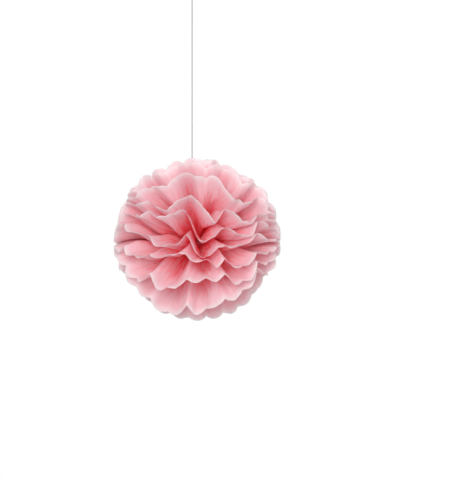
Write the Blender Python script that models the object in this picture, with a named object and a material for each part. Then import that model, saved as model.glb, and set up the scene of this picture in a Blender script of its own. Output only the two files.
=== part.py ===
"""Tissue paper pom pom on a thread.

Ten sheets are stacked, folded together into an accordion of narrow panels, cut round at both
ends and tied with a wire across the middle. Each half of each sheet is then fanned out and the
layers are pulled apart, so that they stand like the pages of a book round the tie. The spine of
that book runs along X, the flower looks along -Y, and the thread goes up from the tie.
"""

import math

import bpy
from mathutils import Vector

MM = 0.001
DEG = math.pi / 180

# Paper. A sheet is PANELS * 38.5 mm long and two ball radii wide.
BALL_RADIUS = 177.5 * MM
SHEETS = 10
PANELS = 13
PAPER = 0.5 * MM
FAN_HALF_ANGLE = 84.5 * DEG
FAN_WIDENING = 4 * DEG
SCALLOP_DEPTH = 9 * MM

# Waist. The stack is gathered here, with the thread between its two middle sheets.
WAIST_HALF_WIDTH = 8 * MM
WAIST_HALF_HEIGHT = 2 * MM
WAIST_COLUMNS = (0, 3, 6.5, 10, 13)
SHEET_PITCH = 0.9 * MM
BEND_RADIUS = 1 * MM
FAN_OUT = 14 * MM
SEAT = 0.35 * MM

# Thread, wire and knots.
THREAD = 2 * MM
THREAD_X = -11.5 * MM
THREAD_SPACING = 9 * MM
WIRE = 0.9 * MM
WIRE_CORNER = 1 * MM
TAIL_GAP = 1.2 * MM
TAIL_LENGTH = 20 * MM
TAIL_TURNS = 4
TAIL_SPREAD = 0.12 * MM
KNOT_HALF_SIZE = Vector((1.9, 2.2, 2.0)) * MM
LOOP_LENGTH = 34 * MM
LOOP_POINTS = 24
LOOP_HALF_WIDTH = 7 * MM
HANG_DROP = 560 * MM
BALL_CENTRE = Vector((-THREAD_X, 0, -HANG_DROP))

# Rows of points from the tie to the rim: radius, depth of the pleats and points to a panel.
BEND_ROWS = (0.5, 1)
FAN_ROWS = (
    (9 * MM, 0.3 * MM, 1),
    (20 * MM, 2.4 * MM, 1),
    (48 * MM, 10 * MM, 1),
    (95 * MM, 20 * MM, 2),
    (140 * MM, 19 * MM, 2),
    (BALL_RADIUS, 12 * MM, 3),
)
DEEPEST_PLEAT = 20 * DEG
PLEAT_UNEVENNESS = 0.35
SCALLOP_UNEVENNESS = 0.3

# Where the ten pages stand at the middle of each half, in degrees round the spine from the front.
LOWER_PAGES = (3, 11, 30, 57, 84, 101, 118, 136, 154, 172)
UPPER_PAGES = (21, 36, 51, 67, 80, 100, 118, 136, 154, 172)
FRONT_PARTING = 9 * DEG
LEFT_PARTING = 34 * DEG
LEFT_PARTING_FROM = 38 * DEG
LEFT_PARTING_BY = 80 * DEG
EVEN_PAGES_FROM = 45 * DEG
EVEN_PAGES_BY = 80 * DEG

# Where the rims of the front sheets pass, in millimetres right of and above the tie.
LOWER_RIMS = (
    ((-174, 21), (-145, 21), (-119, 21), (-97, 1), (-85, -5), (-55, 6), (-42, 3), (-32, -4), (-10, 3),
     (0, -11), (13, -24), (30, -21), (43, -9), (70, -14), (81, 3), (100, 5), (120, 10), (150, 4)),
    ((-169, -21), (-137, -24), (-110, -36), (-87, -29), (-55, -17), (-35, -19), (-20, -34), (-5, -40),
     (13, -28), (30, -30), (45, -44), (55, -50), (70, -49), (85, -39), (110, -39), (137, -29)),
    ((-157, -61), (-112, -84), (-95, -76), (-70, -89), (-55, -84), (-37, -91), (-20, -81), (3, -74),
     (23, -69), (53, -74), (78, -79), (105, -71), (128, -61), (150, -44)),
    ((-165, -56), (-154, -69), (-134, -101), (-107, -121), (-82, -139), (-57, -148), (-20, -143),
     (18, -139), (35, -128), (55, -123), (73, -118), (88, -103), (108, -88), (135, -66)),
)
UPPER_RIMS = (
    ((-145, 55), (-120, 52), (-100, 48), (-80, 57), (-45, 60), (-20, 58), (-11, 36), (-2, 21), (9, -1),
     (20, 6), (50, 16), (78, 24), (100, 24), (120, 16)),
    ((-145, 78), (-110, 75), (-75, 72), (-45, 76), (-22, 83), (-10, 91), (10, 81), (25, 61), (40, 38),
     (55, 48), (78, 63), (98, 53), (110, 40), (130, 44)),
    ((-120, 98), (-80, 115), (-45, 131), (-20, 137), (-2, 132), (18, 138), (45, 133), (60, 104),
     (75, 88), (95, 92), (115, 84)),
)
RIM_END = 12 * DEG
RIM_SOFTNESS = 2.2 * DEG
RIM_REACH = 0.9

# Pleats get shallower where a rim's path is given, and near the spine's ends.
RIM_FLATTENING = 0.3
RIM_FLATTENING_FROM = 0.55
RIM_FLATTENING_OVER = 0.4
END_FLATTENING = 0.55
END_FLATTENING_OVER = 30 * DEG

# How close neighbouring pages come, and how far the folds of the back pages drift along the fan.
GAP = 2.6 * MM
LARGEST_GAP = 6.3 * DEG
PUSHES = 60
THREAD_FREE = 30 * MM
THREAD_PANELS = 1.3
THREAD_ROOM = 2.5 * MM
THREAD_ROOM_AT_RIM = 5.5 * MM
DRIFT = 6 * DEG
DRIFT_FROM = 50 * DEG
DRIFT_OVER = 50 * DEG
DRIFT_FROM_RADIUS = 30 * MM
DRIFT_OVER_RADIUS = 90 * MM

# A soft wave of the whole ball, which hides the straight line of the spine.
BOW = 5 * MM
BOW_LENGTH = 17 * MM
BOW_SWAY = 0.6
BOW_TURNS = 9
BOW_FROM = 4 * MM
BOW_RISE = 17 * MM
BOW_FADE = 90 * MM
BOW_HEIGHT = 70 * MM

# How much shorter the pages that hang down are.
SAG = 0.07
SAG_FROM = 55 * DEG
SAG_OVER = 25 * DEG
SAG_UNTIL = 150 * DEG

PINK = (0.86, 0.42, 0.5, 1)
GREY = (0.3, 0.3, 0.31, 1)
STEEL = (0.55, 0.55, 0.56, 1)

OUTER_SHEET_Y = THREAD / 2 + SEAT + PAPER / 2 + (SHEETS / 2 - 1) * SHEET_PITCH

# All pages round the spine, from the back through the lower half to the back again.
PAGES = [(False, sheet) for sheet in reversed(range(SHEETS))]
PAGES += [(True, sheet) for sheet in range(SHEETS)]


def clear_scene():
    for thing in list(bpy.data.objects):
        bpy.data.objects.remove(thing, do_unlink=True)


def make_material(name, colour, roughness, metallic=0.0):
    material = bpy.data.materials.new(name)
    material.use_nodes = True
    shader = material.node_tree.nodes["Principled BSDF"]
    shader.inputs["Base Color"].default_value = colour
    shader.inputs["Roughness"].default_value = roughness
    shader.inputs["Metallic"].default_value = metallic
    return material


def ease(x):
    """Zero below 0, one above 1 and smooth between."""
    x = min(max(x, 0), 1)
    return x * x * (3 - 2 * x)


def parting(s):
    """The angle above the horizontal at which the lower and upper pages part in front."""
    left = ease((-s - LEFT_PARTING_FROM) / (LEFT_PARTING_BY - LEFT_PARTING_FROM))
    return FRONT_PARTING + (LEFT_PARTING - FRONT_PARTING) * left


def page_angle(upper, sheet, s):
    """The angle round the spine at which a page stands, evenly spread near the spine's ends."""
    pages = UPPER_PAGES if upper else LOWER_PAGES
    side = -1 if upper else 1
    share = (pages[sheet] * DEG + side * FRONT_PARTING) / (math.pi + side * FRONT_PARTING)
    even = (sheet + 0.5) / SHEETS
    share += (even - share) * ease((abs(s) - EVEN_PAGES_FROM) / (EVEN_PAGES_BY - EVEN_PAGES_FROM))
    start = -side * parting(s)
    return start + (math.pi - start) * share


def zigzag(u):
    """One at even fold lines and minus one at odd ones."""
    return 4 * abs((u / 2) % 1 - 0.5) - 1


def fan_turn(u, r):
    """How far round the tie a point u panels along the fan lies from its middle."""
    half_angle = FAN_HALF_ANGLE + FAN_WIDENING * ease(r / BALL_RADIUS)
    return half_angle * (2 * u / PANELS - 1) * ease(r / FAN_OUT)


def uneven(page, fold):
    """A number between -1 and 1 that differs from page to page and from fold to fold."""
    return (math.sin(2.1 * page + 1.3 * fold) + math.sin(1.7 * page - 2.3 * fold + 1)) / 2


def rim_path(upper, sheet):
    """Where a front sheet's rim passes, as (turn across the fan, angle past the page's own)."""
    offsets = []
    for x, z in (UPPER_RIMS if upper else LOWER_RIMS)[sheet]:
        s = math.asin(x * MM / BALL_RADIUS)
        angle = math.asin((z if upper else -z) * MM / (BALL_RADIUS * math.cos(s)))
        offsets.append((s, angle - page_angle(upper, sheet, s)))
    return [(offsets[0][0] - RIM_END, 0), *offsets, (offsets[-1][0] + RIM_END, 0)]


def along(path, s):
    """The value at s of a path of (s, value) points."""
    for (low, before), (high, after) in zip(path, path[1:]):
        if low <= s <= high:
            return before + (after - before) * (s - low) / (high - low)
    return 0


def free_angle(index, r, u, depth):
    """The angle of a point of a page, minus below and plus above, with nothing in its way."""
    upper, sheet = PAGES[index]
    s = fan_turn(u, r)
    angle = page_angle(upper, sheet, s)
    fold = uneven(index, u) * PLEAT_UNEVENNESS
    at_end = ease((abs(s) - EVEN_PAGES_FROM) / END_FLATTENING_OVER)
    deepest = DEEPEST_PLEAT * (1 - END_FLATTENING * at_end)
    pleat = min(depth * (1 + fold) / max(r * math.cos(s), PAPER), deepest)
    if sheet < len(UPPER_RIMS if upper else LOWER_RIMS):
        path = rim_path(upper, sheet)
        at = fan_turn(u, BALL_RADIUS)
        nearby = along(path, at - RIM_SOFTNESS) + along(path, at + RIM_SOFTNESS)
        offset = (2 * along(path, at) + nearby) / 4
        angle += offset * ease(r / BALL_RADIUS / RIM_REACH)
        near_rim = ease((r / BALL_RADIUS - RIM_FLATTENING_FROM) / RIM_FLATTENING_OVER)
        pleat *= 1 - RIM_FLATTENING * near_rim
    return (angle if upper else -angle) + pleat * zigzag(u)


def thread_room(r, s):
    """How far from upright the two pages beside the thread stay, where it passes between them."""
    beside = THREAD_PANELS * r * 2 * FAN_HALF_ANGLE / PANELS + THREAD
    if r < THREAD_FREE or abs(r * math.sin(s) - THREAD_X) > beside:
        return None
    return (THREAD_ROOM + THREAD_ROOM_AT_RIM * r / BALL_RADIUS) / (r * math.cos(s))


def kept_apart(angles, gap, room):
    """The angles of all pages at one place, pushed until each is a gap past the one before."""
    before = PAGES.index((True, SHEETS // 2 - 1))
    after = PAGES.index((True, SHEETS // 2))
    for _ in range(PUSHES):
        if room:
            angles[before] = min(angles[before], math.pi / 2 - room)
            angles[after] = max(angles[after], math.pi / 2 + room)
        for i in range(len(angles)):
            ahead = (i + 1) % len(angles)
            full_turn = 0 if ahead else 2 * math.pi
            short = gap - (angles[ahead] + full_turn - angles[i])
            if short > 0:
                angles[i] -= short / 2
                angles[ahead] += short / 2
    return angles


def row_columns(per_panel):
    return [i / per_panel for i in range(PANELS * per_panel + 1)]


def fan_angles():
    """For each row and column of the fans, the angles of all pages in their order."""
    rows = []
    for r, depth, per_panel in FAN_ROWS:
        row = []
        for u in row_columns(per_panel):
            s = fan_turn(u, r)
            angles = [free_angle(index, r, u, depth) for index in range(len(PAGES))]
            gap = min(GAP / (r * math.cos(s)), LARGEST_GAP)
            row.append(kept_apart(angles, gap, thread_room(r, s)))
        rows.append(row)
    return rows


def drift(angle, v, r):
    """How far the folds of the back pages lie from those of the front ones, along the fan."""
    behind = ease((abs(angle) - DRIFT_FROM) / DRIFT_OVER)
    out = ease((r - DRIFT_FROM_RADIUS) / DRIFT_OVER_RADIUS)
    wave = (math.sin(2 * angle + 2.5 * v + 1) + math.sin(3 * angle - 3 * v)) / 2
    return DRIFT * wave * behind * out * (1 - v**4)


def sag(angle):
    """What is left of the radius of a page at this angle."""
    down = ease((-angle - SAG_FROM) / SAG_OVER) * ease((angle + SAG_UNTIL) / SAG_OVER)
    return 1 - SAG * down


def page_point(index, r, u, angle):
    """A point of a page: r from the tie, u panels along the fan, at this angle."""
    upper, sheet = PAGES[index]
    v = 2 * u / PANELS - 1
    s = fan_turn(u, r) + drift(angle, v, r)
    r *= sag(angle)
    x = r * math.sin(s) + WAIST_HALF_WIDTH * v * (1 - r / BALL_RADIUS)
    return bent_point(upper, sheet, x, r * math.cos(s), angle if upper else -angle)


def bow(x, y, z):
    """How far a point of the ball is lifted by its soft wave."""
    wave = math.sin(y / BOW_LENGTH + BOW_SWAY * math.sin(BOW_TURNS * x / BALL_RADIUS))
    fade = 1 - ease((abs(y) - BOW_FADE / 4) / BOW_FADE)
    return BOW * wave * ease((abs(y) - BOW_FROM) / BOW_RISE) * fade * (1 - ease(abs(z) / BOW_HEIGHT))


def bent_point(upper, sheet, x, q, angle):
    """A point q beyond the bend by which a page leaves the tie for this angle.

    The front five sheets bend forward round one line, and the back five backward round another.
    """
    front, depth = place_in_stack(sheet)
    turn = angle if front else math.pi - angle
    radius = BEND_RADIUS + depth * SHEET_PITCH
    bend_line = (OUTER_SHEET_Y + BEND_RADIUS) * (1 - q / BALL_RADIUS)
    y = radius * math.sin(turn) - q * math.cos(turn) - bend_line
    z = WAIST_HALF_HEIGHT + radius * math.cos(turn) + q * math.sin(turn)
    y = y if front else -y
    z = z if upper else -z
    return BALL_CENTRE + Vector((x, y, z + bow(x, y, z)))


def place_in_stack(sheet):
    """Whether a sheet is in the front half of the stack, and its depth under the outer one."""
    front = sheet < SHEETS / 2
    return front, sheet if front else SHEETS - 1 - sheet


def waist_rows(upper, sheet):
    """The flat gathered strip under the wire, and its bend towards the page."""
    across = [(u, WAIST_HALF_WIDTH * (2 * u / PANELS - 1)) for u in WAIST_COLUMNS]
    end = page_angle(upper, sheet, 0)
    rows = []
    for share in (0, *BEND_ROWS):
        angle = math.pi / 2 + (end - math.pi / 2) * share
        rows.append([(u, bent_point(upper, sheet, x, 0, angle)) for u, x in across])
    return rows


def fan_rows(upper, sheet, angles):
    """The pleated page, ending in one round scallop for each panel."""
    index = PAGES.index((upper, sheet))
    rows = []
    for (r, _, per_panel), row_angles in zip(FAN_ROWS, angles):
        row = []
        for u, page_angles in zip(row_columns(per_panel), row_angles):
            notch = SCALLOP_DEPTH * (2 * (u % 1) - 1) ** 2 if r == BALL_RADIUS else 0
            notch *= 1 + SCALLOP_UNEVENNESS * uneven(-index, u)
            row.append((u, page_point(index, r - notch, u, page_angles[index])))
        rows.append(row)
    return rows


def waist_middle(sheet):
    """The row of points at the height of the wire."""
    front, depth = place_in_stack(sheet)
    y = OUTER_SHEET_Y - depth * SHEET_PITCH
    row = []
    for u in WAIST_COLUMNS:
        x = WAIST_HALF_WIDTH * (2 * u / PANELS - 1)
        row.append((u, BALL_CENTRE + Vector((x, -y if front else y, 0))))
    return row


def strip_faces(low, high):
    """Triangles between two rows of (u, index), each row running the same way."""
    faces = []
    i = j = 0
    while i + 1 < len(low) or j + 1 < len(high):
        next_low = (low[i][0] + low[i + 1][0]) / 2 if i + 1 < len(low) else math.inf
        next_high = (high[j][0] + high[j + 1][0]) / 2 if j + 1 < len(high) else math.inf
        if next_low <= next_high:
            faces.append((low[i][1], low[i + 1][1], high[j][1]))
            i += 1
        else:
            faces.append((low[i][1], high[j + 1][1], high[j][1]))
            j += 1
    return faces


def make_sheet(sheet, angles, material):
    """One sheet: the lower fan's rows from its rim to the tie, then the upper fan's."""
    lower = (waist_rows(False, sheet) + fan_rows(False, sheet, angles))[::-1]
    upper = waist_rows(True, sheet) + fan_rows(True, sheet, angles)
    points = []
    rows = []
    for row in lower + [waist_middle(sheet)] + upper:
        rows.append([(u, len(points) + i) for i, (u, _) in enumerate(row)])
        points += [point for _, point in row]
    faces = [face for low, high in zip(rows, rows[1:]) for face in strip_faces(low, high)]
    name = f"tissue_sheet_{sheet + 1:02d}"
    mesh = bpy.data.meshes.new(name)
    mesh.from_pydata(points, [], faces)
    mesh.materials.append(material)
    paper = bpy.data.objects.new(name, mesh)
    bpy.context.scene.collection.objects.link(paper)
    solid = paper.modifiers.new("paper thickness", "SOLIDIFY")
    solid.thickness = PAPER
    solid.offset = 0
    solid.use_even_offset = True
    solid.use_quality_normals = True
    return paper


def make_tube(name, points, diameter, material, sides, closed=False):
    curve = bpy.data.curves.new(name, "CURVE")
    curve.dimensions = "3D"
    curve.bevel_depth = diameter / 2
    curve.bevel_resolution = sides // 2 - 2
    curve.use_fill_caps = not closed
    line = curve.splines.new("POLY")
    line.points.add(len(points) - 1)
    for spot, point in zip(line.points, points):
        spot.co = (*point, 1)
    line.use_cyclic_u = closed
    curve.materials.append(material)
    tube = bpy.data.objects.new(name, curve)
    bpy.context.scene.collection.objects.link(tube)
    return tube


def wire_round_waist():
    """Points from one end of the wire's turn round the waist to the other, both at +X."""
    half_x = WAIST_HALF_WIDTH + SEAT + WIRE / 2
    half_y = OUTER_SHEET_Y + PAPER / 2 + SEAT + WIRE / 2
    inner_x = half_x - WIRE_CORNER
    inner_y = half_y - WIRE_CORNER
    corners = ((inner_x, inner_y), (-inner_x, inner_y), (-inner_x, -inner_y), (inner_x, -inner_y))
    steps = 4
    points = []
    for quarter, (x, y) in enumerate(corners):
        for step in range(steps + 1):
            turn = (quarter + step / steps) * math.pi / 2
            arc = Vector((math.cos(turn), math.sin(turn), 0)) * WIRE_CORNER
            points.append(Vector((x, y, 0)) + arc)
    return points


def twisted_end(phase):
    """One of the two ends, which twist round each other along +X."""
    start = WAIST_HALF_WIDTH + SEAT + WIRE + TAIL_GAP
    twist_radius = WIRE / 2 + TAIL_SPREAD
    steps = TAIL_TURNS * 8
    points = []
    for i in range(steps + 1):
        turn = phase + 2 * math.pi * TAIL_TURNS * i / steps
        x = start + TAIL_LENGTH * i / steps
        points.append(Vector((x, twist_radius * math.cos(turn), twist_radius * math.sin(turn))))
    return points


def make_wire_tie(material):
    first = twisted_end(0)
    second = twisted_end(math.pi)
    points = first[::-1] + wire_round_waist() + second
    return make_tube("wire_tie", [BALL_CENTRE + p for p in points], WIRE, material, 6)


def make_knot(name, centre, material):
    bpy.ops.mesh.primitive_ico_sphere_add(subdivisions=2, radius=1, location=centre)
    knot = bpy.context.object
    knot.name = name
    knot.data.name = name
    knot.scale = KNOT_HALF_SIZE
    bpy.ops.object.transform_apply(location=False, rotation=False, scale=True)
    knot.data.materials.append(material)
    return knot


def make_thread(low, high, material):
    count = round((high - low) / THREAD_SPACING)
    points = [Vector((0, 0, low + (high - low) * i / count)) for i in range(count + 1)]
    return make_tube("hanging_thread", points, THREAD, material, 8)


def make_loop(foot, material):
    """A closed drop shape with its top at the origin and its foot on the knot."""
    top = -THREAD / 2
    bottom = foot + THREAD / 2
    points = []
    for i in range(LOOP_POINTS):
        turn = 2 * math.pi * i / LOOP_POINTS
        width = LOOP_HALF_WIDTH * math.sin(turn) * math.sin(turn / 2)
        points.append(Vector((width, 0, top + (bottom - top) * (1 + math.cos(turn)) / 2)))
    return make_tube("hanging_loop", points, THREAD, material, 8, closed=True)


def build():
    clear_scene()
    tissue = make_material("pink_tissue", PINK, 0.9)
    string = make_material("grey_string", GREY, 0.85)
    steel = make_material("tie_wire", STEEL, 0.35, 1.0)
    angles = fan_angles()
    for sheet in range(SHEETS):
        make_sheet(sheet, angles, tissue)
    make_wire_tie(steel)
    low_knot = BALL_CENTRE + Vector((THREAD_X, 0, 0))
    make_knot("tie_knot", low_knot, string)
    high_knot = Vector((0, 0, -LOOP_LENGTH))
    make_knot("loop_knot", high_knot, string)
    thread_low = low_knot.z + KNOT_HALF_SIZE.z + SEAT
    thread_high = high_knot.z - KNOT_HALF_SIZE.z - SEAT
    make_thread(thread_low, thread_high, string)
    make_loop(high_knot.z + KNOT_HALF_SIZE.z + SEAT, string)


build()
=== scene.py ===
"""Dresses a tissue paper pom pom: its pleated sheets, the wire that ties them and its string."""

import math

import bmesh
import bpy
import numpy as np
from bpy.props import FloatProperty, FloatVectorProperty, IntProperty, PointerProperty
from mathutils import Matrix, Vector


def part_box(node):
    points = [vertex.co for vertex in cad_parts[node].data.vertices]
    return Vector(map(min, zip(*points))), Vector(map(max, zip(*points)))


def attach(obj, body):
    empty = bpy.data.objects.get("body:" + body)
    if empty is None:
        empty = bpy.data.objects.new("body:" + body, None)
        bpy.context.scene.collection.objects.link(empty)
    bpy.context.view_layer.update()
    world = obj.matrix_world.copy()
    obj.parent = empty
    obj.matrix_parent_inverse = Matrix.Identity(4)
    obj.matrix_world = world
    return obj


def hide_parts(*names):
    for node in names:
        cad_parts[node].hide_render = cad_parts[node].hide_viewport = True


bl_info = {
    "name": "Tissue Paper Pom Pom",
    "version": (1, 0),
    "blender": (4, 5, 0),
    "location": "3D View > Sidebar > Pom Pom",
    "description": "Fluffs a tied stack of pleated tissue paper sheets into a hanging pom pom",
    "category": "Add Mesh",
}

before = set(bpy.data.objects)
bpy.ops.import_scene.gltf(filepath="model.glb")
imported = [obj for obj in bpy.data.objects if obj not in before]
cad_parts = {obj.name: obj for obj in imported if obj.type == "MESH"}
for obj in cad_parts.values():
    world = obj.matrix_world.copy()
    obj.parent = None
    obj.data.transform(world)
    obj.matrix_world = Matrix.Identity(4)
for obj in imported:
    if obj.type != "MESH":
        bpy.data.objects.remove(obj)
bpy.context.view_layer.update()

MM = 0.001
DEG = math.pi / 180

# Places taken from the frame. The tie is the middle of the ball, and the thread rises left of it.
SHEETS = sum(name.startswith("tissue_sheet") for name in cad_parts)
TIE_LOW, TIE_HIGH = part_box("wire_tie")
THREAD_LOW, THREAD_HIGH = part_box("hanging_thread")
THREAD_X = (THREAD_LOW.x + THREAD_HIGH.x) / 2
THREAD_OFFSET = 11.5 * MM
BALL_CENTRE = Vector((THREAD_X + THREAD_OFFSET, 0, (TIE_LOW.z + TIE_HIGH.z) / 2))
RADIUS = 177.5 * MM

# The paper's fan: its folds, how the stack is squeezed under the wire and spreads beside it, and
# the steps in which each page bends out of the stack there.
PANELS = 13
FAN_HALF_ANGLE = 84.5 * DEG
FAN_WIDENING = 4 * DEG
WAIST_HALF_WIDTH = 7.5 * MM
GATHER_HALF_WIDTH = 13 * MM
NECK = 0.33
BEND_STEPS = (0, 0.34, 0.67, 1)
WAIST_HALF_HEIGHT = 2 * MM
SHEET_PITCH = 0.9 * MM
BEND_RADIUS = 1 * MM
OUTER_SHEET_Y = 5.2 * MM
FAN_OUT = 9 * MM

# The grid's rows near the tie, in millimetres from it, and where the evenly spaced ones start.
NEAR_RADII = (4, 6.5, 9, 12.5, 16, 20)
EVEN_ROWS_FROM = 24 * MM

# Where the ten pages of each half stand, in degrees round the spine from the front.
LOWER_PAGES = (3, 11, 30, 57, 84, 101, 118, 136, 154, 172)
UPPER_PAGES = (21, 36, 51, 67, 80, 100, 118, 136, 154, 172)
FRONT_PARTING = 9 * DEG
LEFT_PARTING = 34 * DEG
LEFT_PARTING_FROM = 38 * DEG
LEFT_PARTING_BY = 80 * DEG
EVEN_PAGES_FROM = 45 * DEG
EVEN_PAGES_BY = 80 * DEG

# How deep the pleats are from the tie to the rim, in millimetres.
PLEAT_RADII = (0, 9, 20, 48, 95, 140, 177.5)
PLEAT_DEPTHS = (0, 0.3, 2.4, 10, 20, 19, 12)
DEEPEST_PLEAT = 20 * DEG
FOLD_SHARPNESS = 0.988
PLEAT_UNEVENNESS = 0.35
SCALLOP_UNEVENNESS = 0.3
SCALLOPS_FROM = 0.4

# Where the rims of the front sheets pass, in millimetres right of and above the tie.
LOWER_RIMS = (
    ((-174, 21), (-145, 21), (-119, 21), (-97, 1), (-85, -5), (-55, 6), (-42, 3), (-32, -4), (-10, 3),
     (0, -11), (13, -24), (30, -21), (43, -9), (70, -14), (81, 3), (100, 5), (120, 10), (150, 4)),
    ((-169, -21), (-137, -24), (-110, -36), (-87, -29), (-55, -17), (-35, -19), (-20, -34), (-5, -40),
     (13, -28), (30, -30), (45, -44), (55, -50), (70, -49), (85, -39), (110, -39), (137, -29)),
    ((-157, -61), (-112, -84), (-95, -76), (-70, -89), (-55, -84), (-37, -91), (-20, -81), (3, -74),
     (23, -69), (53, -74), (78, -79), (105, -71), (128, -61), (150, -44)),
    ((-165, -56), (-154, -69), (-134, -101), (-107, -121), (-82, -139), (-57, -148), (-20, -143),
     (18, -139), (35, -128), (55, -123), (73, -118), (88, -103), (108, -88), (135, -66)),
)
UPPER_RIMS = (
    ((-145, 55), (-120, 52), (-100, 48), (-80, 57), (-45, 60), (-20, 58), (-11, 36), (-2, 21), (9, -1),
     (20, 6), (50, 16), (78, 24), (100, 24), (120, 16)),
    ((-145, 78), (-110, 75), (-75, 72), (-45, 76), (-22, 83), (-10, 91), (10, 81), (25, 61), (40, 38),
     (55, 48), (78, 63), (98, 53), (110, 40), (130, 44)),
    ((-120, 98), (-80, 115), (-45, 131), (-20, 137), (-2, 132), (18, 138), (45, 133), (60, 104),
     (75, 88), (95, 92), (115, 84)),
)
RIM_END = 12 * DEG
RIM_SOFTNESS = 2.2 * DEG
RIM_REACH = 0.9

# Pleats get shallower where a rim's path is given, and near the spine's ends.
RIM_FLATTENING = 0.3
RIM_FLATTENING_FROM = 0.55
RIM_FLATTENING_OVER = 0.4
END_FLATTENING = 0.55
END_FLATTENING_OVER = 30 * DEG

# Soft half-folds in the middle of the panels, and small waves of the thin paper. The longest of
# them is given in half widths of a page.
HALF_FOLD = 3.6 * MM
FLUTTER = 2.6 * MM
FLUTTER_WAVES = 6
LONGEST_FLUTTER = 0.24
FLUTTER_SLANT = 0.15
FLUTTER_FULL_FROM = 20 * MM
LARGEST_FLUTTER = 4.5 * DEG
FLUTTER_LOST_AT_END = 0.6
FIRST_SEED = 10
RIPPLE_SHORTENING = 0.7
RIPPLE_FADING = 0.5

# The paper's gathered ends close the gap between both halves, away from the tie.
CLOSING = 0.85

# How close neighbouring pages come.
GAP = 2.6 * MM
LARGEST_GAP = 6.3 * DEG
PUSHES = 60

# The room that the pages leave for the thread, from a little above the tie.
THREAD_FREE = 30 * MM
THREAD_PANELS = 1.3
THREAD_ROOM = 2.5 * MM
THREAD_ROOM_AT_RIM = 5.5 * MM

# How far the folds of the back pages drift along the fan.
DRIFT = 6 * DEG
DRIFT_FROM = 50 * DEG
DRIFT_OVER = 50 * DEG
DRIFT_FROM_RADIUS = 30 * MM
DRIFT_OVER_RADIUS = 90 * MM

# A soft wave of the whole ball, which hides the straight line of the spine.
BOW = 5 * MM
BOW_LENGTH = 17 * MM
BOW_SWAY = 0.6
BOW_TURNS = 9
BOW_FROM = 4 * MM
BOW_RISE = 17 * MM
BOW_FADE_FROM = 22.5 * MM
BOW_FADE_OVER = 90 * MM
BOW_HEIGHT = 70 * MM

# How far the gathered ends of the spine sway up and down, away from the tie.
SWAY = 6 * MM
SWAY_LENGTH = 22 * MM
SWAY_START = 1.0
SWAY_FROM = 30 * MM
SWAY_OVER = 90 * MM

# How much shorter the pages that hang down are.
SAG = 0.07
SAG_FROM = 55 * DEG
SAG_OVER = 25 * DEG
SAG_UNTIL = 150 * DEG

# All pages round the spine, from the back through the lower half to the back again.
PAGES = [(False, sheet) for sheet in reversed(range(SHEETS))]
PAGES += [(True, sheet) for sheet in range(SHEETS)]

# The twisted string: its plies, the length of one twist, and the grooves between the plies.
PLIES = 3
STRING_SIDES = 15
TWIST_LENGTH = 7 * MM
PLY_GROOVE = 0.2
THREAD_STEPS = 420

# The wound knots, whose radius and strand are given in thread diameters.
KNOT_STEPS = 72
KNOT_TURNS = 3.25
KNOT_RADIUS = 0.9
KNOT_STRAND = 0.8
KNOT_END_WIDTH = 0.35
KNOT_FULLNESS = 0.4

# The loop's drop, which is widest where sin(turn) * sin(turn / 2) comes to about 1 / 1.3.
LOOP_STEPS = 120
LOOP_WIDENING = 1.3

# The tissue's colour, by the share of the way from the tie to the rim, with painted shade that
# deepens it near the tie and along the creases, a painted highlight that pales the cut edge,
# soft clouds, and the share of the light that comes through the paper.
PAINTED_FOLD_SHADE_AT = 0.25
MIDDLE_COLOUR_AT = 0.5
RIM_COLOUR_AT = 0.85
RIM_IN_MIDDLE = 0.7
# Painted highlight: the paper is paled near its cut edge, where light catches the rims.
PAINTED_EDGE_LIGHT_FROM = 0.9
PAINTED_EDGE_LIGHT = 0.9
PAINTED_EDGE_LIGHT_COLOUR = (0.985, 0.95, 0.955, 1)
CLOUD_SCALE = 22.0
CLOUD_SHADE = 0.16
# Painted shade: the creases darken the colour towards the deep fold colour.
PAINTED_CREASE_SHADE = -0.26
LIGHT_THROUGH = 0.5

# The tissue's surface: creases from tie to rim, the fold lines and the fine crumpling.
NOISE_MIDDLE = 0.5
CREASE_SCALE = (3.2, 1.6, 1)
CREASE_WIDTH = 0.07
FOLD_LINE_WIDTH = 0.06
FOLD_LINE_HEIGHT = 0.3
CRUMPLE_SCALE = 160.0
CRUMPLE_DETAIL = 4.0
CRUMPLE_HEIGHT = 0.35
PAPER_BUMP = 0.35
PAPER_BUMP_HEIGHT = 1.6 * MM

# The string's fuzz and the wire's drawing marks.
FUZZ_SCALE = 900.0
FUZZ_DARKEST = 0.75
FUZZ_LIGHTEST = 1.3
FUZZ_BUMP = 0.5
FUZZ_BUMP_HEIGHT = 0.3 * MM
WIRE_MARKS_SCALE = 1500.0
WIRE_ROUGHNESS = (0.75, 0.95)

# Light passes through many layers of tissue before it comes out of the folds.
LIGHT_BOUNCES = 32

# How strongly the white surroundings light the ball. The camera sees them at a strength of 1.
WORLD_STRENGTH = 0.58

# The lamps: place from the ball's middle in metres, diameter in metres, and power in watts.
LAMPS = {
    "key": ((-0.35, -2.8, 0.6), 1.5, 47.0),
    "fill": ((1.9, -1.2, 0.3), 1.6, 4.0),
    "back": ((0.2, 1.9, 1.0), 1.4, 22.0),
}

# The ball hangs overhead, and the floor ends before it would come into the picture.
FLOOR_DROP = 2.4
FLOOR_RADIUS = 10.0
FLOOR_SIDES = 96
FLOOR_CLOUD_SCALE = 1.5
FLOOR_CLOUD_DETAIL = 6.0
FLOOR_DARKEST = 0.97
FLOOR_LIFT = 0.46

# The picture's size and the ball's middle and width in it, in pixels. The camera's sensor, in
# millimetres, spans the picture's longer side, its height.
PHOTO_SIZE = (465, 481)
PHOTO_BALL = (197.5, 242)
PHOTO_BALL_WIDTH = 167
CAMERA_DISTANCE = 3.0
SENSOR = 36


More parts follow.
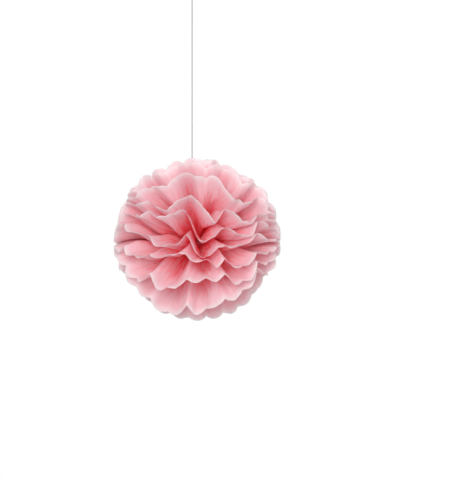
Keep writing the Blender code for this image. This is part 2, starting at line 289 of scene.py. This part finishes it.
class PaperSizes(bpy.types.PropertyGroup):
    """The sizes of the tissue paper and of the string."""

    ball_radius: FloatProperty(
        name="Ball Radius",
        description="From the tie to the crests of the scallops, half a sheet's width",
        default=RADIUS,
        unit="LENGTH",
    )
    panel_width: FloatProperty(
        name="Panel Width",
        description="Width of one pleat's panel, measured flat",
        default=0.0385,
        unit="LENGTH",
    )
    scallop_depth: FloatProperty(
        name="Scallop Depth",
        description="How far the round-cut ends of the panels stand out past their folds",
        default=0.009,
        unit="LENGTH",
    )
    paper: FloatProperty(
        name="Paper Thickness",
        description="Thickness that the shown paper is given",
        default=0.00015,
        unit="LENGTH",
    )
    pleat: FloatProperty(
        name="Pleat Depth",
        description="Factor on the depth of the pleats",
        default=1.0,
        min=0.0,
        max=1.5,
    )
    panel_steps: IntProperty(
        name="Steps per Panel",
        description="Columns of faces across one panel",
        default=12,
        min=4,
        max=16,
    )
    radial_steps: IntProperty(
        name="Radial Steps",
        description="Rows of faces from the tie to the rim",
        default=56,
        min=20,
        max=90,
    )
    thread: FloatProperty(
        name="Thread Diameter",
        description="Diameter of the hanging thread",
        default=0.002,
        unit="LENGTH",
    )


class PomPomColours(bpy.types.PropertyGroup):
    """The colours of the paper, the string, the wire and the room."""

    tissue_rim: FloatVectorProperty(
        name="Tissue at the Rim",
        description="Colour of a single layer in full light",
        subtype="COLOR",
        default=(0.975, 0.77, 0.81),
    )
    # Painted shade: this deeper colour near the tie stands in for the shade between the layers.
    tissue_painted_fold_shade: FloatVectorProperty(
        name="Tissue in the Folds",
        description="Colour deep between the layers, where light has passed through many of them",
        subtype="COLOR",
        default=(1.0, 0.23, 0.31),
    )
    string: FloatVectorProperty(
        name="String",
        description="Colour of the hanging string",
        subtype="COLOR",
        default=(0.3, 0.3, 0.31),
    )
    wire: FloatVectorProperty(
        name="Wire",
        description="Colour of the tie wire",
        subtype="COLOR",
        default=(0.24, 0.24, 0.25),
    )
    floor: FloatVectorProperty(
        name="Floor",
        description="Colour of the floor",
        subtype="COLOR",
        default=(0.88, 0.88, 0.88),
    )


def ease(x):
    """Zero below 0, one above 1 and smooth between."""
    x = np.clip(x, 0, 1)
    return x * x * (3 - 2 * x)


def ripple(rng, x, waves, longest):
    """A smooth random wave along x, between about -1 and 1."""
    total = np.zeros_like(x)
    for i in range(waves):
        length = longest / (1 + RIPPLE_SHORTENING * i)
        wave = np.sin(2 * math.pi * x / length + rng.uniform(0, 2 * math.pi))
        total += wave / (1 + RIPPLE_FADING * i)
    return total / math.sqrt(waves)


def parting(s):
    """The angle above the horizontal at which the lower and upper pages part in front."""
    left = ease((-s - LEFT_PARTING_FROM) / (LEFT_PARTING_BY - LEFT_PARTING_FROM))
    return FRONT_PARTING + (LEFT_PARTING - FRONT_PARTING) * left


def page_angle(upper, sheet, s):
    """The angle round the spine at which a page stands, evenly spread near the spine's ends."""
    pages = UPPER_PAGES if upper else LOWER_PAGES
    side = -1 if upper else 1
    share = (pages[sheet] * DEG + side * FRONT_PARTING) / (math.pi + side * FRONT_PARTING)
    even = (sheet + 0.5) / SHEETS
    spread = ease((abs(s) - EVEN_PAGES_FROM) / (EVEN_PAGES_BY - EVEN_PAGES_FROM))
    start = -side * parting(s)
    return start + (math.pi - start) * (share + (even - share) * spread)


def uneven(page, fold):
    """A number between -1 and 1 that differs from page to page and from fold to fold.

    It is the mean of two waves whose steps don't fit together, so that it hardly repeats.
    """
    return (np.sin(2.1 * page + 1.3 * fold) + np.sin(1.7 * page - 2.3 * fold + 1)) / 2


def rim_offset(upper, sheet, s, radius):
    """How far the rim of a front sheet is from its page's own angle, where its path is given."""
    path = np.array((UPPER_RIMS if upper else LOWER_RIMS)[sheet]) * MM
    across = np.arcsin(path[:, 0] / radius)
    angle = np.arcsin(path[:, 1] / (radius * np.cos(across))) * (1 if upper else -1)
    offset = angle - page_angle(upper, sheet, across)
    across = np.concatenate([[across[0] - RIM_END], across, [across[-1] + RIM_END]])
    offset = np.concatenate([[0], offset, [0]])
    nearby = [np.interp(s + step, across, offset) for step in (-RIM_SOFTNESS, 0, 0, RIM_SOFTNESS)]
    return sum(nearby) / len(nearby)


def zigzag(u):
    """One at even fold lines and minus one at odd ones, with slightly rounded folds."""
    return np.arcsin(FOLD_SHARPNESS * np.cos(math.pi * u)) / math.asin(FOLD_SHARPNESS)


def sag(angle):
    """What is left of the radius of a page at this angle."""
    down = ease((-angle - SAG_FROM) / SAG_OVER) * ease((angle + SAG_UNTIL) / SAG_OVER)
    return 1 - SAG * down


def bow(x, y, z):
    """How far a point of the ball is lifted by its soft wave."""
    wave = np.sin(y / BOW_LENGTH + BOW_SWAY * np.sin(BOW_TURNS * x / RADIUS))
    fade = 1 - ease((abs(y) - BOW_FADE_FROM) / BOW_FADE_OVER)
    return BOW * wave * ease((abs(y) - BOW_FROM) / BOW_RISE) * fade * (1 - ease(abs(z) / BOW_HEIGHT))


def sway(x):
    """How far the ends of the spine are lifted, which hides that it is straight."""
    return SWAY * np.sin(x / SWAY_LENGTH + SWAY_START) * ease((abs(x) - SWAY_FROM) / SWAY_OVER)


class Fans:
    """The places of all pages of both halves on one grid of rows from the tie and columns across.

    Across a page, u counts its panels and v runs from -1 to 1. A point is r from the tie, at the
    angle s along the fan and q from the spine, and share is its part of the way to the rim.
    """

    def __init__(self, sizes):
        self.sizes = sizes
        self.radius = sizes.ball_radius
        self.u = np.linspace(0, PANELS, PANELS * sizes.panel_steps + 1)
        self.v = 2 * self.u / PANELS - 1
        near = np.array(NEAR_RADII) * MM
        far = np.linspace(EVEN_ROWS_FROM, self.radius, sizes.radial_steps - len(near))
        self.r = np.concatenate([near, far])[:, None] * np.ones(len(self.u))[None, :]
        self.share = self.r / self.radius
        self.s = self.v[None, :] * self.half_angle(self.r) * ease(self.r / FAN_OUT)
        self.q = self.r * np.cos(self.s)
        self.angles = [self.free_angle(index) for index in range(len(PAGES))]
        self.keep_apart()

    def half_angle(self, r):
        """How far the fan opens to each side at this radius."""
        return FAN_HALF_ANGLE + FAN_WIDENING * ease(r / self.radius)

    def free_angle(self, index):
        """The angle of each point of a page, minus below and plus above, with nothing in its way."""
        upper, sheet = PAGES[index]
        angle = page_angle(upper, sheet, self.s)
        depth = np.interp(self.r / MM, PLEAT_RADII, PLEAT_DEPTHS) * MM * self.sizes.pleat
        fold = uneven(index, self.u)[None, :] * PLEAT_UNEVENNESS
        at_end = ease((abs(self.s) - EVEN_PAGES_FROM) / END_FLATTENING_OVER)
        deepest = DEEPEST_PLEAT * (1 - END_FLATTENING * at_end)
        pleat = np.minimum(depth * (1 + fold) / np.maximum(self.q, MM), deepest)
        if sheet < len(UPPER_RIMS if upper else LOWER_RIMS):
            at = self.half_angle(self.radius) * self.v
            offset = rim_offset(upper, sheet, at, self.radius)[None, :]
            angle = angle + offset * ease(self.share / RIM_REACH)
            near_rim = ease((self.share - RIM_FLATTENING_FROM) / RIM_FLATTENING_OVER)
            pleat = pleat * (1 - RIM_FLATTENING * near_rim)
        angle = (angle if upper else -angle) + pleat * zigzag(self.u)[None, :]
        small = self.flutter(index) / np.maximum(self.q, FLUTTER_FULL_FROM)
        small = np.clip(small, -LARGEST_FLUTTER, LARGEST_FLUTTER)
        return angle + small * (1 - FLUTTER_LOST_AT_END * at_end)

    def flutter(self, index):
        """Small waves and half-folds of the thin paper, which grow towards the rim."""
        rng = np.random.RandomState(FIRST_SEED + index)
        slanted = self.v[None, :] + FLUTTER_SLANT * self.share
        waves = FLUTTER * ripple(rng, slanted, FLUTTER_WAVES, LONGEST_FLUTTER)
        height = HALF_FOLD * (1 + uneven(index + 3, self.u))
        return waves * self.share**2 + (height * zigzag(2 * self.u))[None, :] * self.share

    def keep_apart(self):
        """Pushes pages away from their neighbours and from the thread that passes between two."""
        gap = np.minimum(GAP / self.q, LARGEST_GAP)
        reach = THREAD_PANELS * self.r * 2 * FAN_HALF_ANGLE / PANELS + self.sizes.thread
        beside = abs(self.r * np.sin(self.s) + THREAD_OFFSET) < reach
        beside &= self.r > THREAD_FREE
        room = (THREAD_ROOM + THREAD_ROOM_AT_RIM * self.share) / self.q
        before = PAGES.index((True, SHEETS // 2 - 1))
        after = PAGES.index((True, SHEETS // 2))
        angles = self.angles
        for _ in range(PUSHES):
            held = np.minimum(angles[before], math.pi / 2 - room)
            angles[before] = np.where(beside, held, angles[before])
            held = np.maximum(angles[after], math.pi / 2 + room)
            angles[after] = np.where(beside, held, angles[after])
            for i in range(len(angles)):
                ahead = (i + 1) % len(angles)
                full_turn = 0 if ahead else 2 * math.pi
                short = np.maximum(gap - (angles[ahead] + full_turn - angles[i]), 0)
                angles[i] = angles[i] - short / 2
                angles[ahead] = angles[ahead] + short / 2

    def drift(self, angle):
        """How far the folds of the back pages lie from those of the front ones, along the fan."""
        behind = ease((abs(angle) - DRIFT_FROM) / DRIFT_OVER)
        out = ease((self.r - DRIFT_FROM_RADIUS) / DRIFT_OVER_RADIUS)
        v = self.v[None, :]
        wave = (np.sin(2 * angle + 2.5 * v + 1) + np.sin(3 * angle - 3 * v)) / 2
        return DRIFT * wave * behind * out * (1 - v**4)

    def page(self, upper, sheet):
        """A page's points, flat coordinates and folds, as rows from the tie to the rim."""
        index = PAGES.index((upper, sheet))
        angle = self.angles[index]
        notch = self.sizes.scallop_depth * (2 * (self.u % 1) - 1) ** 2
        notch = notch * (1 + SCALLOP_UNEVENNESS * uneven(-index, self.u))
        r = self.r - notch[None, :] * ease((self.share - SCALLOPS_FROM) / (1 - SCALLOPS_FROM))
        s = self.s + self.drift(angle)
        r = r * sag(angle)
        x = r * np.sin(s) + GATHER_HALF_WIDTH * self.v[None, :] * (1 - r / self.radius)
        fan = self.bent(upper, sheet, x, r * np.cos(s), angle if upper else -angle)
        rows = []
        end = page_angle(upper, sheet, 0.0)
        for share in BEND_STEPS:
            turn = math.pi / 2 + (end - math.pi / 2) * share + 0 * self.v
            rows.append(self.bent(upper, sheet, GATHER_HALF_WIDTH * self.v, 0 * self.v, turn))
        points = np.concatenate([np.array(rows), fan])
        out = np.concatenate([np.zeros((len(rows), len(self.u))), r])
        share = np.concatenate([np.zeros((len(rows), len(self.u))), self.share])
        across = self.u[None, :] * np.ones_like(out)
        flat = np.stack([across * self.sizes.panel_width, out if upper else -out], axis=-1)
        return points, flat, np.stack([across, share], axis=-1)

    def bent(self, upper, sheet, x, q, angle):
        """Points q beyond the bend by which a page leaves the tie for this angle."""
        front = sheet < SHEETS / 2
        turn = angle if front else math.pi - angle
        depth = sheet if front else SHEETS - 1 - sheet
        radius = BEND_RADIUS + depth * SHEET_PITCH
        bend_line = (OUTER_SHEET_Y + BEND_RADIUS) * (1 - q / self.radius)
        lift = WAIST_HALF_HEIGHT + radius * np.cos(turn)
        y = radius * np.sin(turn) - q * np.cos(turn) - bend_line
        z = lift * (1 - CLOSING * ease(abs(x) / RADIUS)) + q * np.sin(turn)
        y = y if front else -y
        z = z if upper else -z
        return np.stack([x, y, z + bow(x, y, z) + sway(x)], axis=-1) + np.array(BALL_CENTRE)


def through_waist(lower, upper):
    """One grid from the lower rim through the neck under the wire to the upper rim."""
    below = lower[:1] * (1 - NECK) + upper[:1] * NECK
    above = upper[:1] * (1 - NECK) + lower[:1] * NECK
    return np.concatenate([lower[:0:-1], below, (below + above) / 2, above, upper[1:]])


def grid_mesh(name, points, maps):
    """A mesh of quads through a grid of points, with a UV map for each named grid of coordinates."""
    rows, columns = points.shape[:2]
    index = np.arange(rows * columns).reshape(rows, columns)
    corners = (index[:-1, :-1], index[:-1, 1:], index[1:, 1:], index[1:, :-1])
    faces = np.stack([c.ravel() for c in corners], axis=1)
    mesh = bpy.data.meshes.new(name)
    mesh.from_pydata(points.reshape(-1, 3).tolist(), [], faces.tolist())
    loops = np.empty(len(mesh.loops), np.int32)
    mesh.loops.foreach_get("vertex_index", loops)
    for key, grid in maps.items():
        layer = mesh.uv_layers.new(name=key)
        layer.data.foreach_set("uv", grid.reshape(-1, 2)[loops].ravel())
    mesh.shade_smooth()
    return mesh


def add_piece(name, mesh, material, slot, *nodes):
    """Links a finished piece, gives it its material and lets it stand for its solids."""
    piece = bpy.data.objects.new(name, mesh)
    bpy.context.scene.collection.objects.link(piece)
    piece.data.materials.append(material)
    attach(piece, "root")
    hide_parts(*nodes)
    return piece


def thicken(piece, thickness):
    """Gives the paper its two faces."""
    solid = piece.modifiers.new("Paper", "SOLIDIFY")
    solid.thickness = thickness
    solid.offset = 0
    bpy.ops.object.select_all(action="DESELECT")
    bpy.context.view_layer.objects.active = piece
    piece.select_set(True)
    bpy.ops.object.modifier_apply(modifier=solid.name)


class Nodes:
    """The nodes of a material or of the world."""

    def __init__(self, owner):
        owner.use_nodes = True
        self.tree = owner.node_tree

    def add(self, kind, inputs=(), **settings):
        """A new node with its settings, and with values or other nodes' outputs on its inputs."""
        node = self.tree.nodes.new(kind)
        for key, value in settings.items():
            setattr(node, key, value)
        self.feed(node, inputs)
        return node

    def feed(self, node, inputs):
        """Puts each value on the input it is given for, and links each output to its own."""
        for key, value in dict(inputs).items():
            if isinstance(value, bpy.types.NodeSocket):
                self.tree.links.new(value, node.inputs[key])
            else:
                node.inputs[key].default_value = value

    def math(self, operation, *values, **settings):
        """The output of a calculation with numbers and other nodes' outputs."""
        node = self.add("ShaderNodeMath", enumerate(values), operation=operation, **settings)
        return node.outputs[0]

    def noise(self, place, scale, detail=2.0):
        """The output of soft noise over the coordinates of this place."""
        inputs = {"Vector": place, "Scale": scale, "Detail": detail}
        return self.add("ShaderNodeTexNoise", inputs).outputs["Fac"]

    def fading_line(self, distance, width, **settings):
        """The output that is one at no distance from a line and zero from this width on."""
        inputs = {"Value": distance, "From Max": width, "To Min": 1.0, "To Max": 0.0}
        return self.add("ShaderNodeMapRange", inputs, **settings).outputs[0]

    def ramp(self, share, *stops):
        """A colour ramp through these stops, each a position and a colour."""
        node = self.add("ShaderNodeValToRGB", {"Fac": share})
        elements = node.color_ramp.elements
        for element, (position, colour) in zip((elements[0], elements[-1]), (stops[0], stops[-1])):
            element.position = position
            element.color = (*colour, 1)
        for position, colour in stops[1:-1]:
            elements.new(position).color = (*colour, 1)
        return node

    def bump(self, height, strength, distance):
        """The output of a normal that is raised by this height."""
        inputs = {"Height": height, "Strength": strength, "Distance": distance}
        return self.add("ShaderNodeBump", inputs).outputs[0]


def new_material(name):
    """A material, its nodes, and the shader and output that it starts with."""
    material = bpy.data.materials.new(name)
    nodes = Nodes(material)
    shader = nodes.tree.nodes["Principled BSDF"]
    return material, nodes, shader, nodes.tree.nodes["Material Output"]


def tissue_material(colours):
    """Matte, slightly see-through paper with soft creases and painted shade in the folds."""
    material, nodes, shader, output = new_material("pink_tissue")
    place = nodes.add("ShaderNodeUVMap", uv_map="Paper").outputs["UV"]
    folded = nodes.add("ShaderNodeUVMap", uv_map="Folds").outputs["UV"]
    parts = nodes.add("ShaderNodeSeparateXYZ", {0: folded})
    creases = long_creases(nodes, folded)
    colour = tissue_colour(nodes, colours, place, parts.outputs["Y"], creases)
    inputs = {
        "Base Color": colour,
        "Roughness": 0.9,
        "Specular IOR Level": 0.15,
        "Normal": tissue_bump(nodes, place, parts.outputs["X"], creases),
    }
    nodes.feed(shader, inputs)
    glow = nodes.add("ShaderNodeBsdfTranslucent", {"Color": colour})
    inputs = {"Fac": LIGHT_THROUGH, 1: shader.outputs[0], 2: glow.outputs[0]}
    mixed = nodes.add("ShaderNodeMixShader", inputs)
    nodes.feed(output, {"Surface": mixed.outputs[0]})
    return material


def tissue_colour(nodes, colours, place, outwards, creases):
    """Painted shade at the tie and creases, soft clouds, and a painted highlight on the cut edge."""
    clouded = nodes.math("MULTIPLY_ADD", nodes.noise(place, CLOUD_SCALE), CLOUD_SHADE, outwards)
    # Painted shade along the creases, which pushes their colour towards the deep one.
    share = nodes.math("MULTIPLY_ADD", creases, PAINTED_CREASE_SHADE, clouded)
    # Painted shade: the ramp runs from the deep colour near the tie to the rim colour outwards.
    deep, rim = colours.tissue_painted_fold_shade, colours.tissue_rim
    middle = [(1 - RIM_IN_MIDDLE) * a + RIM_IN_MIDDLE * b for a, b in zip(deep, rim)]
    stops = (PAINTED_FOLD_SHADE_AT, deep), (MIDDLE_COLOUR_AT, middle), (RIM_COLOUR_AT, rim)
    ramp = nodes.ramp(share, *stops)
    ramp.color_ramp.interpolation = "EASE"
    # Painted highlight that pales the paper near its cut edge.
    inputs = {"Value": outwards, "From Min": PAINTED_EDGE_LIGHT_FROM, "To Max": PAINTED_EDGE_LIGHT}
    edge = nodes.add("ShaderNodeMapRange", inputs)
    inputs = {"Factor": edge.outputs[0], "A": ramp.outputs[0], "B": PAINTED_EDGE_LIGHT_COLOUR}
    return nodes.add("ShaderNodeMix", inputs, data_type="RGBA").outputs["Result"]


def long_creases(nodes, folded):
    """Narrow creases that run from the tie to the rim: one on a crease's line, zero beside it."""
    inputs = {"Vector": folded, "Scale": CREASE_SCALE}
    stretched = nodes.add("ShaderNodeMapping", inputs).outputs[0]
    beside = nodes.math("SUBTRACT", nodes.noise(stretched, 1.0), NOISE_MIDDLE)
    distance = nodes.math("ABSOLUTE", beside)
    return nodes.fading_line(distance, CREASE_WIDTH, interpolation_type="SMOOTHSTEP")


def tissue_bump(nodes, place, across, creases):
    """Raised fold lines, long creases that run to the rim, and fine crumpling."""
    half_panel = 0.5
    line = nodes.fading_line(nodes.math("PINGPONG", across, half_panel), FOLD_LINE_WIDTH)
    crumple = nodes.noise(place, CRUMPLE_SCALE, CRUMPLE_DETAIL)
    height = nodes.math("MULTIPLY_ADD", crumple, CRUMPLE_HEIGHT, creases)
    lined = nodes.math("MULTIPLY_ADD", line, FOLD_LINE_HEIGHT, height)
    return nodes.bump(lined, PAPER_BUMP, PAPER_BUMP_HEIGHT)


def string_material(colours):
    """Grey twisted string, a little uneven in colour."""
    material, nodes, shader, _ = new_material("grey_string")
    place = nodes.add("ShaderNodeTexCoord").outputs["Object"]
    fuzz = nodes.noise(place, FUZZ_SCALE)
    dark = [FUZZ_DARKEST * c for c in colours.string]
    light = [FUZZ_LIGHTEST * c for c in colours.string]
    inputs = {
        "Base Color": nodes.ramp(fuzz, (0, dark), (1, light)).outputs[0],
        "Roughness": 0.85,
        "Normal": nodes.bump(fuzz, FUZZ_BUMP, FUZZ_BUMP_HEIGHT),
    }
    nodes.feed(shader, inputs)
    return material


def wire_material(colours):
    """Plain soft steel wire with fine drawing marks."""
    material, nodes, shader, _ = new_material("tie_wire")
    place = nodes.add("ShaderNodeTexCoord").outputs["Object"]
    marks = nodes.noise(place, WIRE_MARKS_SCALE)
    smoothest, roughest = WIRE_ROUGHNESS
    inputs = {"Value": marks, "To Min": smoothest, "To Max": roughest}
    rough = nodes.add("ShaderNodeMapRange", inputs).outputs[0]
    nodes.feed(shader, {"Base Color": (*colours.wire, 1), "Metallic": 1.0, "Roughness": rough})
    return material


def directions(line, closed):
    """Two directions across a line at each of its points, square to it and to each other."""
    ahead = np.roll(line, -1, axis=0) - np.roll(line, 1, axis=0)
    if not closed:
        ahead[0] = line[1] - line[0]
        ahead[-1] = line[-1] - line[-2]
    ahead /= np.linalg.norm(ahead, axis=1)[:, None]
    across = np.cross(ahead, (0, 1, 0))
    along_y = np.linalg.norm(across, axis=1) < 0.1
    across[along_y] = np.cross(ahead[along_y], (1, 0, 0))
    across /= np.linalg.norm(across, axis=1)[:, None]
    return across, np.cross(ahead, across)


def tube_faces(rings, sides, closed):
    """The faces between rings of points, with a face over each end unless the tube is closed."""
    faces = []
    for i in range(rings if closed else rings - 1):
        a, b = i * sides, (i + 1) % rings * sides
        for j in range(sides):
            k = (j + 1) % sides
            faces.append((a + j, a + k, b + k, b + j))
    if not closed:
        faces.append(tuple(range(sides))[::-1])
        faces.append(tuple(range((rings - 1) * sides, rings * sides)))
    return faces


def twisted_string(name, path, diameter, closed=False):
    """A mesh of plies twisted together along a path of points."""
    line = np.array(path, float)
    across, third = directions(line, closed)
    steps = np.linalg.norm(np.diff(line, axis=0), axis=1)
    along = np.concatenate([[0], np.cumsum(steps)])
    turns = along[-1] / TWIST_LENGTH
    if closed:
        turns = round(turns)
    around = np.arange(STRING_SIDES) * 2 * math.pi / STRING_SIDES
    points = []
    for i in range(len(line)):
        twist = 2 * math.pi * turns * along[i] / along[-1]
        bulge = np.abs(np.cos(PLIES / 2 * (around - twist)))
        radius = (diameter / 2 * (1 - PLY_GROOVE + PLY_GROOVE * bulge))[:, None]
        sideways = np.cos(around)[:, None] * across[i] + np.sin(around)[:, None] * third[i]
        points += (line[i] + radius * sideways).tolist()
    mesh = bpy.data.meshes.new(name)
    mesh.from_pydata(points, [], tube_faces(len(line), STRING_SIDES, closed))
    return mesh


def outward(mesh):
    """Turns all faces of a closed mesh outwards."""
    shape = bmesh.new()
    shape.from_mesh(mesh)
    bmesh.ops.recalc_face_normals(shape, faces=shape.faces)
    shape.to_mesh(mesh)
    shape.free()
    mesh.shade_smooth()
    return mesh


def knot_path(centre, half_height, radius):
    """Turns of string wound down round the thread, with both ends tucked in."""
    points = []
    for i in range(KNOT_STEPS + 1):
        share = i / KNOT_STEPS
        turn = 2 * math.pi * KNOT_TURNS * share
        height = half_height * (1 - 2 * share)
        full = math.sin(math.pi * share) ** KNOT_FULLNESS
        wide = radius * (KNOT_END_WIDTH + (1 - KNOT_END_WIDTH) * full)
        offset = Vector((wide * math.cos(turn), wide * math.sin(turn), height))
        points.append(Vector(centre) + offset)
    return points


class POMPOM_OT_sheets(bpy.types.Operator):
    """Folds, fans out and fluffs the stack of tissue paper sheets"""

    bl_idname = "pompom.sheets"
    bl_label = "Fluff the Tissue Sheets"

    def execute(self, context):
        sizes = context.scene.pompom_sizes
        colours = context.scene.pompom_colours
        tissue = tissue_material(colours)
        fans = Fans(sizes)
        for sheet in range(SHEETS):
            pages = zip(fans.page(False, sheet), fans.page(True, sheet))
            points, flat, folds = [through_waist(lower, upper) for lower, upper in pages]
            points[len(points) // 2, :, 0] = BALL_CENTRE.x + WAIST_HALF_WIDTH * fans.v
            name = f"tissue_{sheet + 1:02d}"
            node = f"tissue_sheet_{sheet + 1:02d}"
            mesh = grid_mesh(name, points, {"Paper": flat, "Folds": folds})
            piece = add_piece(name, mesh, tissue, "tissue", node)
            thicken(piece, sizes.paper)
        return {"FINISHED"}


class POMPOM_OT_wire(bpy.types.Operator):
    """Gives the wire that ties the waist its steel"""

    bl_idname = "pompom.wire"
    bl_label = "Finish the Tie Wire"

    def execute(self, context):
        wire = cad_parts["wire_tie"]
        wire.data.materials.clear()
        wire.data.materials.append(wire_material(context.scene.pompom_colours))
        return {"FINISHED"}


class POMPOM_OT_string(bpy.types.Operator):
    """Makes the hanging thread, its knots and its loop of twisted string"""

    bl_idname = "pompom.string"
    bl_label = "Hang It on Its String"

    def execute(self, context):
        sizes = context.scene.pompom_sizes
        grey = string_material(context.scene.pompom_colours)
        low_knot, tie_knot = self.knot("tie_knot", sizes, grey)
        high_knot, loop_knot = self.knot("loop_knot", sizes, grey)
        route = [low_knot.lerp(high_knot, i / THREAD_STEPS) for i in range(THREAD_STEPS + 1)]
        mesh = outward(twisted_string("thread", route, sizes.thread))
        thread = add_piece("thread", mesh, grey, "string", "hanging_thread")
        loop = self.loop(high_knot.z, sizes, grey)
        return {"FINISHED"}

    def knot(self, node, sizes, grey):
        """A knot wound round the thread's end, which its solid's box holds."""
        low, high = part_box(node)
        centre = (low + high) / 2
        path = knot_path(centre, (high.z - low.z) / 2, sizes.thread * KNOT_RADIUS)
        mesh = outward(twisted_string(node, path, sizes.thread * KNOT_STRAND))
        return centre, add_piece(node + "_wound", mesh, grey, "string", node)

    def loop(self, foot, sizes, grey):
        """A drop-shaped loop as high and wide as its solid, with its foot in the knot."""
        low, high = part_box("hanging_loop")
        middle = (low.x + high.x) / 2
        half_width = (high.x - low.x - sizes.thread) / 2
        top = high.z - sizes.thread / 2
        path = []
        for i in range(LOOP_STEPS):
            turn = 2 * math.pi * i / LOOP_STEPS
            width = LOOP_WIDENING * half_width * math.sin(turn) * math.sin(turn / 2)
            height = top + (foot - top) * (1 + math.cos(turn)) / 2
            path.append((middle + width, 0, height))
        mesh = outward(twisted_string("loop", path, sizes.thread, closed=True))
        return add_piece("loop", mesh, grey, "string", "hanging_loop")


def seen_directly(nodes):
    """The output that is one for what the camera sees, also in a mirror or through glass."""
    rays = nodes.add("ShaderNodeLightPath").outputs
    through, diffuse = rays["Is Transmission Ray"], rays["Is Diffuse Ray"]
    glass = nodes.math("SUBTRACT", through, diffuse, use_clamp=True)
    shiny = nodes.math("MAXIMUM", rays["Is Glossy Ray"], glass)
    return nodes.math("MAXIMUM", rays["Is Camera Ray"], shiny)


def floor_material(colours):
    """A pale floor, very slightly clouded, that is shown nearly white and keeps its shadow."""
    material, nodes, shader, output = new_material("pale_floor")
    place = nodes.add("ShaderNodeTexCoord").outputs["Object"]
    clouds = nodes.noise(place, FLOOR_CLOUD_SCALE, FLOOR_CLOUD_DETAIL)
    dark = [FLOOR_DARKEST * c for c in colours.floor]
    ramp = nodes.ramp(clouds, (0, dark), (1, colours.floor))
    nodes.feed(shader, {"Base Color": ramp.outputs[0], "Roughness": 0.9})
    lift = nodes.math("MULTIPLY", seen_directly(nodes), FLOOR_LIFT)
    shown = nodes.add("ShaderNodeEmission", {"Strength": lift})
    both = nodes.add("ShaderNodeAddShader", {0: shader.outputs[0], 1: shown.outputs[0]})
    nodes.feed(output, {"Surface": both.outputs[0]})
    return material


class POMPOM_OT_stage(bpy.types.Operator):
    """Adds the pale floor, the white surroundings and the soft studio lights"""

    bl_idname = "pompom.stage"
    bl_label = "Set Up Floor and Lights"

    def execute(self, context):
        self.floor(context.scene.pompom_colours)
        self.surroundings(context.scene)
        for name, (offset, size, power) in LAMPS.items():
            self.lamp(name, BALL_CENTRE + Vector(offset), size, power)
        context.scene.view_settings.view_transform = "Standard"
        context.scene.cycles.max_bounces = LIGHT_BOUNCES
        context.scene.cycles.diffuse_bounces = LIGHT_BOUNCES
        context.scene.cycles.transmission_bounces = LIGHT_BOUNCES
        return {"FINISHED"}

    def floor(self, colours):
        """A wide round floor far below the ball."""
        bpy.ops.object.select_all(action="DESELECT")
        bpy.ops.mesh.primitive_circle_add(
            vertices=FLOOR_SIDES,
            radius=FLOOR_RADIUS,
            fill_type="NGON",
            location=(BALL_CENTRE.x, 0, BALL_CENTRE.z - FLOOR_DROP),
        )
        floor = bpy.context.object
        floor.name = "floor"
        floor.data.materials.append(floor_material(colours))

    def surroundings(self, scene):
        """A world that lights the ball softly and is white where the camera sees it."""
        world = bpy.data.worlds.new("white_studio")
        scene.world = world
        nodes = Nodes(world)
        white = (1, 1, 1, 1)
        light = nodes.tree.nodes["Background"]
        nodes.feed(light, {"Color": white, "Strength": WORLD_STRENGTH})
        seen = nodes.add("ShaderNodeBackground", {"Color": white, "Strength": 1.0})
        inputs = {"Fac": seen_directly(nodes), 1: light.outputs[0], 2: seen.outputs[0]}
        mix = nodes.add("ShaderNodeMixShader", inputs)
        nodes.feed(nodes.tree.nodes["World Output"], {"Surface": mix.outputs[0]})

    def lamp(self, name, place, size, power):
        """A round lamp that faces the ball's middle."""
        data = bpy.data.lights.new(name, "AREA")
        data.shape = "DISK"
        data.size = size
        data.energy = power
        lamp = bpy.data.objects.new(name, data)
        lamp.location = place
        lamp.rotation_euler = (BALL_CENTRE - place).to_track_quat("-Z", "Y").to_euler()
        bpy.context.scene.collection.objects.link(lamp)


class POMPOM_OT_camera(bpy.types.Operator):
    """Places the camera level in front, so that the ball lands where the picture has it"""

    bl_idname = "pompom.camera"
    bl_label = "Place the Camera"

    def execute(self, context):
        metres_per_pixel = 2 * context.scene.pompom_sizes.ball_radius / PHOTO_BALL_WIDTH
        right = (PHOTO_SIZE[0] / 2 - PHOTO_BALL[0]) * metres_per_pixel
        up = (PHOTO_BALL[1] - PHOTO_SIZE[1] / 2) * metres_per_pixel
        data = bpy.data.cameras.new("camera")
        data.sensor_width = SENSOR
        data.lens = SENSOR * CAMERA_DISTANCE / (PHOTO_SIZE[1] * metres_per_pixel)
        camera = bpy.data.objects.new("camera", data)
        camera.location = BALL_CENTRE + Vector((right, -CAMERA_DISTANCE, up))
        camera.rotation_euler = (math.pi / 2, 0, 0)
        context.scene.collection.objects.link(camera)
        context.scene.camera = camera
        return {"FINISHED"}


class POMPOM_PT_panel(bpy.types.Panel):
    """Lists the pom pom's steps, sizes and colours"""

    bl_idname = "POMPOM_PT_panel"
    bl_label = "Tissue Paper Pom Pom"
    bl_space_type = "VIEW_3D"
    bl_region_type = "UI"
    bl_category = "Pom Pom"

    def draw(self, context):
        for step in STEPS:
            self.layout.operator(step.bl_idname)
        for group in (context.scene.pompom_sizes, context.scene.pompom_colours):
            box = self.layout.box()
            for key in group.bl_rna.properties.keys():
                if key not in ("rna_type", "name"):
                    box.prop(group, key)


STEPS = (POMPOM_OT_camera, POMPOM_OT_string, POMPOM_OT_wire, POMPOM_OT_sheets, POMPOM_OT_stage)
CLASSES = (PaperSizes, PomPomColours, *STEPS, POMPOM_PT_panel)


def register():
    for item in CLASSES:
        bpy.utils.register_class(item)
    bpy.types.Scene.pompom_sizes = PointerProperty(type=PaperSizes)
    bpy.types.Scene.pompom_colours = PointerProperty(type=PomPomColours)


def unregister():
    del bpy.types.Scene.pompom_colours
    del bpy.types.Scene.pompom_sizes
    for item in reversed(CLASSES):
        bpy.utils.unregister_class(item)


def main():
    register()
    bpy.ops.pompom.camera()
    bpy.ops.pompom.string()
    bpy.ops.pompom.wire()
    bpy.ops.pompom.sheets()
    bpy.ops.pompom.stage()


if __name__ == "__main__":
    main()
